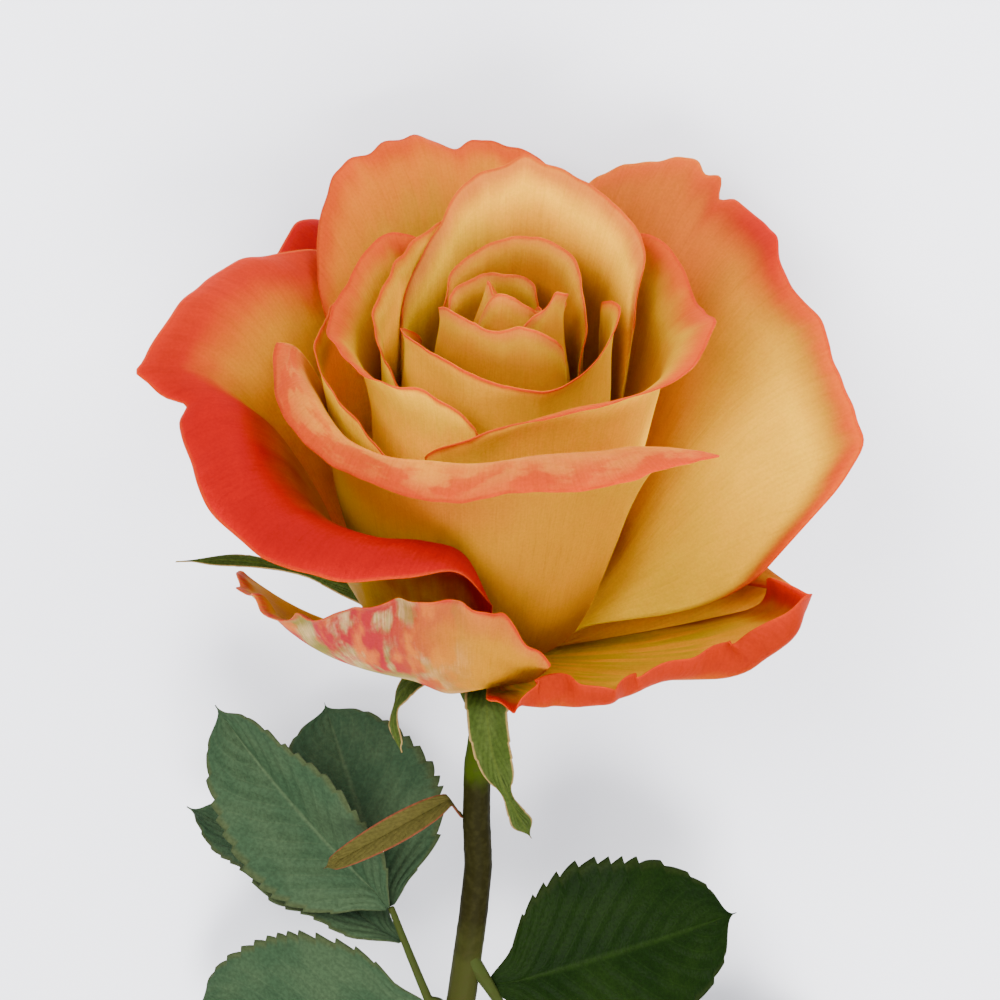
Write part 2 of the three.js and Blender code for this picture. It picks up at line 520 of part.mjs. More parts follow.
// A bract stands where a side bud was, on the left of the stem above the leaves.
const BRACT_SHARE = 0.048;
const bractBase = stemLine.getPointAt(BRACT_SHARE);
bractBase.x -= stemRadius(BRACT_SHARE) + CLEARANCE * 2;
const BRACT = { turn: -114, rise: 30, tilt: 20, length: 25, width: 4.8, fold: 20, curl: 56 };
addSheet("bract", leafletGrid(bractBase, BRACT), LEAF_THICK, SEPAL_GREEN);

// ---------------------------------------------------------------- origin below the middle
const box = new THREE.Box3().setFromObject(rose);
rose.position.set(-(box.min.x + box.max.x) / 2, -(box.min.y + box.max.y) / 2, -box.min.z);

export default rose;
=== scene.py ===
import json
import math

import bpy
import numpy as np
from mathutils import Matrix, Vector


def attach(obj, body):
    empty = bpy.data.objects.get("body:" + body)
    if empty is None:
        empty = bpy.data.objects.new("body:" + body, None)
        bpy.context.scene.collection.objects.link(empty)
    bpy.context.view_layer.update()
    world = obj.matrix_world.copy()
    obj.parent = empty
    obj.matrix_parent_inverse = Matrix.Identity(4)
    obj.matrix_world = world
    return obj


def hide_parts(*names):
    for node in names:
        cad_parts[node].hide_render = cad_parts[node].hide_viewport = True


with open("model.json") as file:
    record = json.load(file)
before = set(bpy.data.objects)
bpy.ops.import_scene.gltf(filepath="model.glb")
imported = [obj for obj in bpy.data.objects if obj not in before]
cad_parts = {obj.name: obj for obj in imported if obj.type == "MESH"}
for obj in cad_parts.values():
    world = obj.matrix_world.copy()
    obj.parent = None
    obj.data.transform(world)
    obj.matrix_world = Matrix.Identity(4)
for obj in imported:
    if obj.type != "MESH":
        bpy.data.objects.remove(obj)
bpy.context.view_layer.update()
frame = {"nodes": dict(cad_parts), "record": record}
NODES = frame["nodes"]
SLOTS = {row["node"]: row["material_slot"] for row in frame["record"]["subparts"]}
MM = 0.001
SAME_POINT = 0.002 * MM  # points nearer than this are one point


# ---------------------------------------------------------------- reading the frame
def merged(node):
    """A CAD node's distinct points and its triangles."""
    mesh = NODES[node].data
    mesh.calc_loop_triangles()
    co = np.array([v.co for v in mesh.vertices])
    keys, index = np.unique(np.round(co / SAME_POINT).astype(int), axis=0, return_inverse=True)
    index = index.ravel()
    points = np.zeros((len(keys), 3))
    points[index] = co
    triangles = index[np.array([t.vertices[:] for t in mesh.loop_triangles])]
    return points, triangles


def hops(start, near):
    """How many edges away each point is."""
    far = {start: 0}
    ring = [start]
    while ring:
        ring = [q for p in ring for q in near[p] if q not in far and not far.update({q: far[p] + 1})]
    return far


def sheet_grid(node, thickness, foot):
    """The middle surface of a sheet as a grid of points, from its foot outwards.

    The sheet's own triangles say where each point sits in the grid it was made from."""
    points, triangles = merged(node)
    sides = np.linalg.norm(points[triangles] - points[np.roll(triangles, -1, axis=1)], axis=2)
    skin = triangles[np.all(np.abs(sides - thickness) > 4e-6, axis=1)]
    near = {}
    for t in skin:
        for p in t:
            near.setdefault(int(p), set()).update(int(q) for q in t if q != p)
    faces = []
    left = set(near)
    while left:
        part = set(hops(next(iter(left)), near))
        left -= part
        ends = [p for p in part if len(near[p]) <= 3]
        ends.sort(key=lambda p: (points[p] - foot) @ (points[p] - foot))
        first = next(p for p in ends if len(near[p]) == 3)
        second = next(p for p in ends if len(near[p]) == 2)
        most, less = hops(first, near), hops(second, near)
        wide = most[second]
        place = {}
        for p in part:
            lead = less[p] - wide
            place[p] = (most[p] - lead, most[p]) if lead >= 0 else (most[p], most[p] + lead)
        size = np.max(list(place.values()), axis=0) + 1
        grid = np.zeros((*size, 3))
        for p, ij in place.items():
            grid[ij] = points[p]
        a, b, c = next(t for t in skin if int(t[0]) in part)
        steps = [np.array(place[int(q)]) - place[int(a)] for q in (b, c)]
        faces.append((steps[0][0] * steps[1][1] - steps[0][1] * steps[1][0] > 0, grid))
    outer, inner = (next(g for out, g in faces if out == want) for want in (True, False))
    return (outer + inner) / 2


# ---------------------------------------------------------------- grids and meshes
def at(values, places):
    """Catmull-Rom along the first axis, at places from 0 to 1."""
    n = len(values) - 1
    x = np.clip(places, 0, 1) * n
    k = np.minimum(x.astype(int), n - 1)
    t = (x - k).reshape((-1,) + (1,) * (values.ndim - 1))
    pad = np.concatenate([[2 * values[0] - values[1]], values, [2 * values[-1] - values[-2]]])
    a, b, c, d = (pad[k + s] for s in range(4))
    return b + t * ((c - a) / 2 + t * (a - 2.5 * b + 2 * c - d / 2 + t * (1.5 * (b - c) + (d - a) / 2)))


def at_each(grid, across, along):
    """The grid at one place across for each row, and at its own places along within the row."""
    rows = at(grid, across)
    return np.array([at(row, places) for row, places in zip(rows, along)])


def facing(grid):
    """Unit normals towards the sheet's outer side."""
    normal = np.cross(np.gradient(grid, axis=0), np.gradient(grid, axis=1))
    return normal / np.maximum(np.linalg.norm(normal, axis=2, keepdims=True), 1e-12)


def run_length(grid, axis):
    """Distance travelled along an axis of the grid, from its start."""
    steps = np.linalg.norm(np.diff(grid, axis=axis), axis=2)
    total = np.cumsum(steps, axis=axis)
    return np.concatenate([np.zeros_like(np.take(total, [0], axis=axis)), total], axis=axis)


def smooth(x):
    x = np.clip(x, 0, 1)
    return x * x * (3 - 2 * x)


def waves(rng, places, count, lowest=1):
    """A smooth random line between about -1 and 1."""
    places = np.asarray(places, float)
    out = np.zeros_like(places)
    for k in range(lowest, lowest + count):
        out += rng.normal() * np.sin(2 * np.pi * (k * places + rng.random())) / math.sqrt(count)
    return out


def build_sheet(name, middle, thickness, values):
    """A closed sheet round a middle surface. thickness is a grid, values are named grids."""
    n, m = middle.shape[:2]
    normal = facing(middle)
    half = thickness[..., None] / 2
    co = np.concatenate([(middle + normal * half).reshape(-1, 3), (middle - normal * half).reshape(-1, 3)])
    a = (np.arange(n - 1)[:, None] * m + np.arange(m - 1)).ravel()
    top = np.stack([a, a + m, a + m + 1, a + 1], 1)
    ring = np.concatenate([
        np.arange(n) * m,
        (n - 1) * m + np.arange(1, m),
        np.arange(n - 2, -1, -1) * m + m - 1,
        np.arange(m - 2, 0, -1)])
    after = np.roll(ring, -1)
    wall = np.stack([ring, ring + n * m, after + n * m, after], 1)
    faces = np.concatenate([top, top[:, ::-1] + n * m, wall])
    mesh = bpy.data.meshes.new(name)
    mesh.from_pydata(co.tolist(), [], faces.tolist())
    mesh.shade_smooth()
    for key, grid in {**values, "face": np.ones((n, m))}.items():
        back = np.zeros((n, m)) if key == "face" else grid
        data = mesh.attributes.new(key, "FLOAT", "POINT").data
        data.foreach_set("value", np.concatenate([grid.ravel(), back.ravel()]))
    uv = mesh.uv_layers.new(name="grid")
    u, v = np.meshgrid(np.linspace(0, 1, n), np.linspace(0, 1, m), indexing="ij")
    flat = np.stack([u.ravel(), v.ravel()], 1)
    loops = np.zeros(len(mesh.loops), int)
    mesh.loops.foreach_get("vertex_index", loops)
    uv.data.foreach_set("uv", flat[loops % (n * m)].ravel())
    obj = bpy.data.objects.new(name, mesh)
    bpy.context.scene.collection.objects.link(obj)
    return obj


def place(obj, node, slot, material):
    """obj stands for a CAD node."""
    obj.data.materials.clear()
    obj.data.materials.append(material)
    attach(obj, "root")
    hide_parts(node)


# ---------------------------------------------------------------- materials
def srgb(r, g, b):
    line = [c / 255 / 12.92 if c <= 10 else ((c / 255 + 0.055) / 1.055) ** 2.4 for c in (r, g, b)]
    return (*line, 1)


class Shader:
    """A material's nodes, made one call at a time."""

    def __init__(self, name):
        self.material = bpy.data.materials.new(name)
        self.material.use_nodes = True
        self.tree = self.material.node_tree
        self.tree.nodes.clear()

    def node(self, kind, settings=None, **inputs):
        made = self.tree.nodes.new("ShaderNode" + kind)
        for key, value in (settings or {}).items():
            setattr(made, key, value)
        for key, value in inputs.items():
            socket = made.inputs[int(key[1:])] if key[1:].isdigit() else made.inputs[key.replace("_", " ")]
            if isinstance(value, bpy.types.NodeSocket):
                self.tree.links.new(value, socket)
            else:
                socket.default_value = value
        return made

    def value(self, name):
        return self.node("Attribute", {"attribute_name": name}).outputs["Fac"]

    def math(self, operation, a, b=0.0):
        return self.node("Math", {"operation": operation}, i0=a, i1=b).outputs[0]

    def ramp(self, x, low, high, bottom=0.0, top=1.0):
        made = self.node("MapRange", {"interpolation_type": "SMOOTHSTEP"}, Value=x)
        for key, value in (("From Min", low), ("From Max", high), ("To Min", bottom), ("To Max", top)):
            if isinstance(value, bpy.types.NodeSocket):
                self.tree.links.new(value, made.inputs[key])
            else:
                made.inputs[key].default_value = value
        return made.outputs["Result"]

    def mix(self, amount, a, b, blend="MIX"):
        made = self.node("Mix", {"data_type": "RGBA", "blend_type": blend}, i0=amount)
        for index, value in ((6, a), (7, b)):
            if isinstance(value, bpy.types.NodeSocket):
                self.tree.links.new(value, made.inputs[index])
            else:
                made.inputs[index].default_value = value
        return made.outputs[2]

    def shade(self, colour, tone):
        """The colour made lighter or darker."""
        grey = self.node("CombineColor", Red=tone, Green=tone, Blue=tone).outputs[0]
        return self.mix(1.0, colour, grey, "MULTIPLY")

    def grid(self, across, along, shift=0.0):
        """The sheet's own coordinates, stretched."""
        uv = self.node("UVMap", {"uv_map": "grid"}).outputs[0]
        moved = self.node("Mapping", Vector=uv)
        moved.inputs["Scale"].default_value = (across, along, 1)
        moved.inputs["Location"].default_value = (shift, shift, shift)
        return moved.outputs[0]

    def noise(self, vector, scale=1.0, detail=3.0):
        return self.node("TexNoise", Vector=vector, Scale=scale, Detail=detail).outputs["Fac"]

    def finish(self, colour, roughness, bump=None, depth=0.1, **principled):
        inputs = {"Base_Color": colour, "Roughness": roughness, **principled}
        if bump is not None:
            inputs["Normal"] = self.node("Bump", Strength=1.0, Distance=depth * MM, Height=bump).outputs[0]
        shader = self.node("BsdfPrincipled", **inputs).outputs[0]
        self.node("OutputMaterial", Surface=shader)
        return self.material


# Petal colours as linear light, since they are too vivid for round numbers out of 255.
# The next two colours are painted shade: dark foot colours for inner faces deep in the cup, where shade
# falls.
PAINTED_DARK_SHADE = (0.220, 0.070, 0.0, 1)
PAINTED_SHADE = (0.340, 0.082, 0.0, 1)
AMBER = (0.275, 0.095, 0.0, 1)
# The next two colours are painted light: bright foot and middle colours that lighten faces lying in shade.
PAINTED_FILL_LIGHT = (0.700, 0.285, 0.0, 1)
PAINTED_HALF_LIGHT = (0.460, 0.200, 0.0, 1)
GOLD = (0.290, 0.114, 0.0, 1)
YELLOW = (0.250, 0.117, 0.0, 1)
PALE = (0.340, 0.174, 0.0, 1)
LIGHT = (0.500, 0.295, 0.0, 1)
LEMON = (0.700, 0.360, 0.0, 1)
PEACH = (0.360, 0.086, 0.0, 1)
PINK = (0.300, 0.066, 0.010, 1)
BLUSH = (0.280, 0.048, 0.004, 1)
SALMON = (0.280, 0.019, 0.001, 1)
ORANGE = (0.250, 0.044, 0.0, 1)
EMBER = (0.175, 0.036, 0.0, 1)
FLAME = (0.210, 0.010, 0.0, 1)
RED = (0.190, 0.0, 0.0, 1)
MOSS = (0.180, 0.110, 0.0, 1)
LEAFY = (0.095, 0.095, 0.012, 1)
ROSE = (0.200, 0.010, 0.012, 1)
SAGE = (0.150, 0.140, 0.036, 1)
CREAM = (0.300, 0.200, 0.090, 1)
TAN = (0.170, 0.060, 0.012, 1)

# The inner face and then the outer face of each petal: its colour at the foot and halfway up, which in many
# looks is painted shade or painted light, then bands that run in from the rim, each as (colour, width in mm,
# strength).
LOOKS = {
    "heart": (
        (PAINTED_SHADE, AMBER, (PALE, 4, 0.7), (PINK, 1.2, 0.7)),
        (AMBER, AMBER, (PALE, 4, 0.8), (PINK, 1.8, 0.8))),
    "inner": (
        (PAINTED_SHADE, AMBER, (PALE, 6, 0.9), (PEACH, 1.2, 0.9)),
        (PAINTED_FILL_LIGHT, PAINTED_HALF_LIGHT, (PALE, 5, 0.6), (SALMON, 0.8, 0.9))),
    "shade": (
        (PAINTED_FILL_LIGHT, PAINTED_FILL_LIGHT, (PALE, 5, 0.9), (ORANGE, 1.3, 0.8)),
        (PAINTED_FILL_LIGHT, PAINTED_FILL_LIGHT, (LIGHT, 9, 0.8), (SALMON, 0.7, 0.8))),
    "crown": (
        (PAINTED_DARK_SHADE, PAINTED_DARK_SHADE, (LEMON, 11, 1), (PINK, 3.5, 0.9)),
        (PAINTED_FILL_LIGHT, YELLOW, (PEACH, 10, 0.5), (SALMON, 0.8, 0.8))),
    "middle": (
        (GOLD, GOLD, (PALE, 8, 0.9), (SALMON, 4, 0.9)),
        (PAINTED_FILL_LIGHT, PAINTED_FILL_LIGHT, (LIGHT, 10, 0.8), (SALMON, 1, 0.8))),
    "back": (
        (GOLD, YELLOW, (PEACH, 12, 0.9), (SALMON, 4, 0.8)),
        (YELLOW, PALE, (PEACH, 20, 0.9), (SALMON, 5, 0.9))),
    "right": (
        (PAINTED_SHADE, AMBER, (YELLOW, 24, 0.9), (SALMON, 3.5, 0.9)),
        (YELLOW, PALE, (BLUSH, 18, 0.8), (RED, 5, 0.9))),
    "front": (
        (PAINTED_FILL_LIGHT, PAINTED_HALF_LIGHT, (PINK, 12, 0.8), (SALMON, 2.5, 0.7)),
        (AMBER, GOLD, (PALE, 14, 0.5), (SALMON, 1.6, 0.8))),
    "left": (
        (PAINTED_FILL_LIGHT, GOLD, (ORANGE, 20, 1), (RED, 14, 1)),
        (YELLOW, PALE, (ORANGE, 24, 1), (RED, 17, 1))),
    "outer": (
        (YELLOW, YELLOW, (ORANGE, 20, 1), (RED, 12, 1)),
        (YELLOW, PALE, (ORANGE, 26, 1), (RED, 16, 1))),
    "guard": (
        (MOSS, YELLOW, (EMBER, 11, 1), (RED, 4.5, 0.9)),
        (AMBER, GOLD, (ORANGE, 18, 1), (FLAME, 7, 1))),
    "streaked": (
        (YELLOW, YELLOW, (PALE, 8, 1), (ORANGE, 2, 1)),
        (GOLD, GOLD, (PINK, 5, 0.7), (SALMON, 1, 1))),
}
CUPPED = ("heart", "inner", "shade", "crown", "middle")
# How gradually the bands run into each other, and how far they wander, otherwise 1 and 1.
BLEND = {"left": (0.5, 0.5), "guard": (0.5, 0.5), "crown": (1, 0.35), "heart": (1, 0.6), "inner": (1, 0.6)}


def petal_material(look):
    s = Shader("petal_" + look)
    along = s.value("along")
    across = s.value("cross")
    rim = edge = s.value("rim")
    if look == "left":
        # Its red is broad below the notch and narrow above it.
        rim = s.math("MULTIPLY", rim, s.ramp(across, 0.3, 0.45, 1.5, 0.8))
    streaks = s.noise(s.grid(30, 2.4, 7), detail=4)
    fibres = s.noise(s.grid(210, 8, 3), detail=4)
    blotch = s.noise(s.grid(6, 5, 11), detail=2)
    speckle = s.noise(s.node("TexCoord").outputs["Object"], 2600, 2)
    loose = s.math("ADD", s.math("MULTIPLY", streaks, 0.7), s.math("MULTIPLY", blotch, 1.3))
    loose = s.math("SUBTRACT", loose, 1.0)
    sides = []
    softness, wander = BLEND.get(look, (1, 1))
    soft = 0.65 * softness
    # Cupped petals keep their foot colour further up; in several looks that foot colour is painted shade or
    # painted light.
    turn = (0.45, 0.9) if look in CUPPED else (0.1, 0.7)
    for foot, middle, *bands in LOOKS[look]:
        colour = s.mix(s.ramp(along, *turn), foot, middle)
        for band, width, strength in bands:
            depth = s.math("ADD", rim, s.math("MULTIPLY", loose, 1.1 * width * wander))
            amount = s.ramp(depth, width * (0.85 + soft), width * (0.85 - soft), 0, strength)
            colour = s.mix(amount, colour, band)
        line = s.ramp(edge, 0.75, 0.2, 0, 0.85)
        sides.append(s.mix(line, colour, FLAME))
    colour = s.mix(s.value("face"), sides[0], sides[1])
    if look == "left":
        glow = s.math("MULTIPLY", s.ramp(across, 0.45, 0.25, 0, 0.5), s.ramp(rim, 22, 10))
        colour = s.mix(glow, colour, SALMON)
    if look == "right":
        # Its upper part blushes all over, its lower part is pale, and its top corner is red.
        high = s.math("MULTIPLY", s.ramp(across, 0.35, 0.65), s.ramp(along, 0.35, 0.7, 0, 0.75))
        colour = s.mix(high, colour, BLUSH)
        low = s.math("MULTIPLY", s.ramp(across, 0.42, 0.2, 0, 0.8), s.ramp(rim, 3, 9))
        colour = s.mix(low, colour, LIGHT)
        corner = s.math("MULTIPLY", s.ramp(across, 0.3, 0.5, 0, 0.9), s.ramp(rim, 9, 2))
        colour = s.mix(s.math("MULTIPLY", corner, s.ramp(across, 0.8, 0.55)), colour, RED)
    if look == "front":
        # Its lip is freckled near the rim, and the face under the lip blushes.
        freckle = s.noise(s.grid(14, 22, 5), detail=4)
        low = s.math("MULTIPLY", s.ramp(rim, 6.5, 2.5), s.ramp(freckle, 0.42, 0.56, 0, 0.75))
        colour = s.mix(low, colour, SALMON)
        under = s.math("MULTIPLY", s.ramp(across, 0.75, 0.4), s.ramp(rim, 24, 16))
        colour = s.mix(s.math("MULTIPLY", under, s.ramp(rim, 11, 14, 0, 0.6)), colour, BLUSH)
    if look == "streaked":
        # It is rose red with green and cream patches, and its rim has dried.
        patches = s.noise(s.grid(13, 3.2, 2), detail=6)
        where = s.math("MULTIPLY", s.value("face"), s.ramp(across, 0.8, 0.5))
        blush = s.mix(s.ramp(s.noise(s.grid(18, 4, 9), detail=4), 0.48, 0.64), ROSE, PINK)
        colour = s.mix(where, colour, blush)
        pale = s.mix(s.ramp(fibres, 0.3, 0.7), SAGE, CREAM)
        green = s.mix(s.ramp(blotch, 0.35, 0.6), LEAFY, pale)
        colour = s.mix(s.math("MULTIPLY", where, s.ramp(patches, 0.47, 0.57, 0, 0.9)), colour, green)
        dry = s.math("MULTIPLY", s.ramp(edge, 2.2, 0.8), s.ramp(across, 0.6, 0.3))
        colour = s.mix(dry, colour, s.mix(s.ramp(fibres, 0.4, 0.6), TAN, ROSE))
    if look == "guard":
        # It is greenish away from its rim.
        green = s.math("MULTIPLY", s.ramp(rim, 9, 16), s.ramp(blotch, 0.3, 0.6, 0.4, 1))
        colour = s.mix(green, colour, s.mix(s.ramp(streaks, 0.4, 0.6), MOSS, GOLD))
    fan = s.math("ADD", s.math("MULTIPLY", across, 26.0), s.math("MULTIPLY", streaks, 2.5))
    vein = s.math("ABSOLUTE", s.math("SUBTRACT", s.math("FRACT", fan), 0.5))
    tone = s.ramp(vein, 0.0, 0.07, 0.93, 1.0)
    tone = s.math("MULTIPLY", tone, s.ramp(fibres, 0.3, 0.7, 0.95, 1.04))
    tone = s.math("MULTIPLY", tone, s.ramp(blotch, 0.3, 0.7, 0.95, 1.04))
    tone = s.math("MULTIPLY", tone, s.ramp(speckle, 0.3, 0.7, 0.93, 1.05))
    colour = s.shade(colour, tone)
    relief = s.math("ADD", s.math("MULTIPLY", fibres, 0.5), streaks)
    relief = s.math("ADD", relief, s.math("MULTIPLY", speckle, 0.25))
    return s.finish(
        colour, 0.65, bump=relief, depth=0.12, Subsurface_Weight=0.8, Subsurface_Radius=(1.0, 0.6, 0.1),
        Subsurface_Scale=0.0015, Specular_IOR_Level=0.03)


# ---------------------------------------------------------------- the bloom's own frame
def principal(points):
    """Centre and longest direction of a cloud of points."""
    centre = points.mean(0)
    return centre, np.linalg.svd(points - centre)[2][0]


HIP_LENGTH = 14 * MM
hip_points = merged("hip")[0]
hip_middle, AXIS = principal(hip_points)
AXIS = AXIS * np.sign(AXIS[1])
reach = (hip_points - hip_middle) @ AXIS
HIP_FOOT = hip_middle + AXIS * reach.min()
BLOOM_FOOT = HIP_FOOT + AXIS * HIP_LENGTH

PETAL_THICK = 0.5 * MM
LEAF_THICK = 0.6 * MM
SEPAL_THICK = 0.7 * MM

# look, ruffle (mm), degrees that the rim curls outwards, how much of each corner is rounded
# away, notches in the rim as (place across, depth in mm, width across), where a negative depth
# is a tip, and how flat the fold of a lip is.
PETALS = {
    "petal_heart_1": ("heart", 0.1, 10, 0.1, (), 0),
    "petal_heart_2": ("heart", 0.1, 15, 0.1, (), 0),
    "petal_heart_3": ("heart", 0.15, 25, 0.08, (), 0),
    "petal_heart_4": ("heart", 0.15, 25, 0.08, (), 0),
    "petal_heart_5": ("heart", 0.2, 20, 0.05, ((0.7, -0.8, 0.05),), 0),
    "petal_heart_6": ("heart", 0.2, 25, 0.05, (), 0),
    "petal_inner_front": ("inner", 0.3, 20, 0.05, (), 0),
    "petal_inner_back": ("crown", 0.5, 20, 0.04, ((0.52, -1.2, 0.03),), 0),
    "petal_inner_left": ("shade", 0.4, 20, 0.05, (), 0),
    "petal_middle_left": ("middle", 0.5, 20, 0.05, (), 0),
    "petal_middle_right": ("middle", 0.6, 15, 0.03, ((0.62, -1.2, 0.03),), 0.35),
    "petal_middle_under": ("shade", 0.4, 10, 0.06, (), 0),
    "petal_back_left": ("back", 1.2, 20, 0.1, ((0.55, 1.8, 0.04), (0.2, 0.8, 0.03)), 0),
    "petal_right": ("right", 1.0, 15, 0.12, ((0.66, 2.4, 0.015), (0.71, 1.6, 0.02), (0.4, 0.8, 0.05)), 0),
    "petal_front": ("front", 0.5, 5, 0.02, ((0.45, -0.8, 0.06), (0.62, 1.0, 0.06)), 0.85),
    "petal_left": (
        "left", 0.9, 15, 0.08,
        ((0.36, -1.2, 0.01), (0.42, 2.0, 0.014), (0.24, 0.6, 0.02), (0.12, 0.6, 0.02)), 0.3),
    "petal_outer_back": ("outer", 1.2, 20, 0.12, (), 0),
    "petal_outer_back_left": ("outer", 1.0, 20, 0.12, (), 0),
    "petal_guard_lower_left": ("streaked", 1.6, 30, 0.03, ((0.3, 1.2, 0.05), (0.12, 1.0, 0.02)), 0),
    "petal_guard_lower_right": ("guard", 1.0, -85, 0.1, ((0.24, 1.2, 0.03), (0.75, -1.5, 0.03)), 0),
    "petal_guard_back_right": ("outer", 1.0, 20, 0.12, (), 0),
    "petal_guard_back_left": ("outer", 1.0, 20, 0.12, (), 0),
}
RIM_MM = 3.5  # how far in from the rim the curl begins
INWARD_RIM = 2.3  # a rim that curls the other way begins this many times as far in
LIP_MM = 3  # how soon past its crest a lip lies flat
PETAL_CELL = (0.7 * MM, 0.75 * MM)  # mesh spacing across and along a petal
RIM_THICK = 0.14  # a petal's thickness at its rim and away from it, in mm
FACE_THICK = 0.38
PETAL_ROWS = (44, 150)  # fewest and most rows across, and then along
PETAL_COLUMNS = (44, 96)
FINE = 1
materials = {look: petal_material(look) for look in LOOKS}


def curled(grid, width, angle):
    """The grid with the last part of each rib turned outwards by an angle."""
    run = run_length(grid, 1)
    turned = (angle * smooth((run - run[:, -1:] + width) / width))[:, 1:, None]
    step = np.diff(grid, axis=1)
    out = facing(grid)[:, 1:]
    length = np.linalg.norm(step, axis=2, keepdims=True)
    step = step * np.cos(turned) + out * length * np.sin(turned)
    return np.concatenate([grid[:, :1], grid[:, :1] + np.cumsum(step, axis=1)], axis=1)


def folded(grid, flatness):
    """The grid with each lip lying flat from its crest to its rim."""
    height = (grid - BLOOM_FOOT) @ AXIS
    crest = height.argmax(axis=1)
    run = run_length(grid, 1)
    made = grid.copy()
    for rib, peak, places in zip(made, crest, run):
        past = places[peak:] - places[peak]
        if past[-1] < LIP_MM * MM:
            continue
        chord = rib[peak] + (rib[-1] - rib[peak]) * (past / past[-1])[:, None]
        long_enough = smooth((past[-1] / MM - LIP_MM) / LIP_MM)
        share = flatness * smooth(past / (LIP_MM * MM))[:, None] * long_enough
        rib[peak:] = rib[peak:] * (1 - share) + chord * share
    return made


def petal(node, seed):
    look, ruffle, curl, corner, notches, flatness = PETALS[node]
    rng = np.random.default_rng(seed)
    coarse = sheet_grid(node, PETAL_THICK, BLOOM_FOOT)
    width = run_length(coarse, 0)[-1].max()
    height = run_length(coarse, 1)[:, -1].max()
    n = int(np.clip(width / PETAL_CELL[0], *PETAL_ROWS)) // FINE
    m = int(np.clip(height / PETAL_CELL[1], *PETAL_COLUMNS)) // FINE
    u = np.linspace(0, 1, n)
    top = 1 - corner * sum(1 - np.sqrt(1 - np.clip(1 - d / 0.16, 0, 1) ** 2) for d in (u, 1 - u))
    nibbles = waves(rng, u, 4, 2) + 0.4 * waves(rng, u, 5, 7) + 0.3 * waves(rng, u, 8, 14)
    top -= 0.4 * ruffle * MM / height * nibbles
    for where, depth, wide in notches:
        top -= depth * MM / height * np.exp(-(((u - where) / wide) ** 2))
    top -= max(0, top.max() - 1)
    v = np.linspace(0, 1, m) ** 0.85
    grid = at_each(coarse, u, top[:, None] * v)
    if flatness:
        grid = folded(grid, flatness)
    along = np.broadcast_to(v, (n, m))
    free = smooth((along - 0.55) / 0.45) ** 1.5
    swell = waves(rng, u, 3, 2)[:, None] * free
    fine = waves(rng, u, 6, 6)[:, None] * free ** 3
    grid = grid + facing(grid) * MM * (ruffle * (0.6 * swell + 0.3 * fine))[..., None]
    where = np.clip(1 + 0.5 * waves(rng, u, 4, 1), 0.2, 1.6)
    where = where * smooth(8 * u) * smooth(8 * (1 - u))
    turned_in = INWARD_RIM if curl < 0 else 1
    grid = curled(grid, RIM_MM * MM * turned_in, math.radians(curl) * where[:, None])
    run = run_length(grid, 1)
    rise = run[:, -1:] - run
    cross = run_length(grid, 0)
    side = np.minimum(cross, cross[-1] - cross)
    rim = np.minimum(rise, side + (run[:, -1:] * 0.55) * np.clip(1 - along, 0, 1)) / MM
    thick = MM * (RIM_THICK + (FACE_THICK - RIM_THICK) * smooth(rim / 3))
    values = {"rim": rim, "along": along, "cross": np.broadcast_to(u[:, None], (n, m))}
    obj = build_sheet(node.replace("petal", "rose_petal"), grid, thick, values)
    place(obj, node, SLOTS[node], materials[look])


for number, name in enumerate(PETALS):
    petal(name, 100 + number)


# ---------------------------------------------------------------- leaves, sepals and bract
def leaf_material(name, face, back, vein, edge, shine):
    s = Shader(name)
    across = s.value("cross")
    along = s.value("along")
    off = s.math("ABSOLUTE", s.math("SUBTRACT", across, 0.5))
    fan = s.math("SUBTRACT", s.math("MULTIPLY", along, 11.0), s.math("MULTIPLY", off, 7.0))
    ribs = s.math("ABSOLUTE", s.math("SUBTRACT", s.math("FRACT", fan), 0.5))
    midrib = s.ramp(off, 0.03, 0.0)
    lateral = s.math("MULTIPLY", s.ramp(ribs, 0.06, 0.0), s.ramp(off, 0.5, 0.3))
    veins = s.math("MAXIMUM", midrib, s.math("MULTIPLY", lateral, 0.35))
    net = s.node("TexVoronoi", {"feature": "DISTANCE_TO_EDGE"}, Vector=s.grid(34, 58), Scale=1.0).outputs[0]
    cloud = s.noise(s.grid(3, 4, 4), detail=4)
    grain = s.noise(s.node("TexCoord").outputs["Object"], 1800, 3)
    colour = s.mix(s.ramp(cloud, 0.35, 0.65, 0, 0.3), face, vein)
    under = s.mix(s.ramp(cloud, 0.35, 0.65, 0, 0.5), back, face)
    colour = s.mix(s.value("face"), under, colour)
    colour = s.mix(s.math("MULTIPLY", veins, 0.5), colour, vein)
    colour = s.mix(s.ramp(off, 0.43, 0.48, 0, 0.85), colour, edge)
    tone = s.ramp(grain, 0.3, 0.7, 0.85, 1.15)
    colour = s.shade(colour, tone)
    relief = s.math("SUBTRACT", s.ramp(net, 0.0, 0.35, 0, 0.5), s.math("MULTIPLY", veins, 0.8))
    return s.finish(colour, shine, bump=relief, depth=0.06, Specular_IOR_Level=0.02)


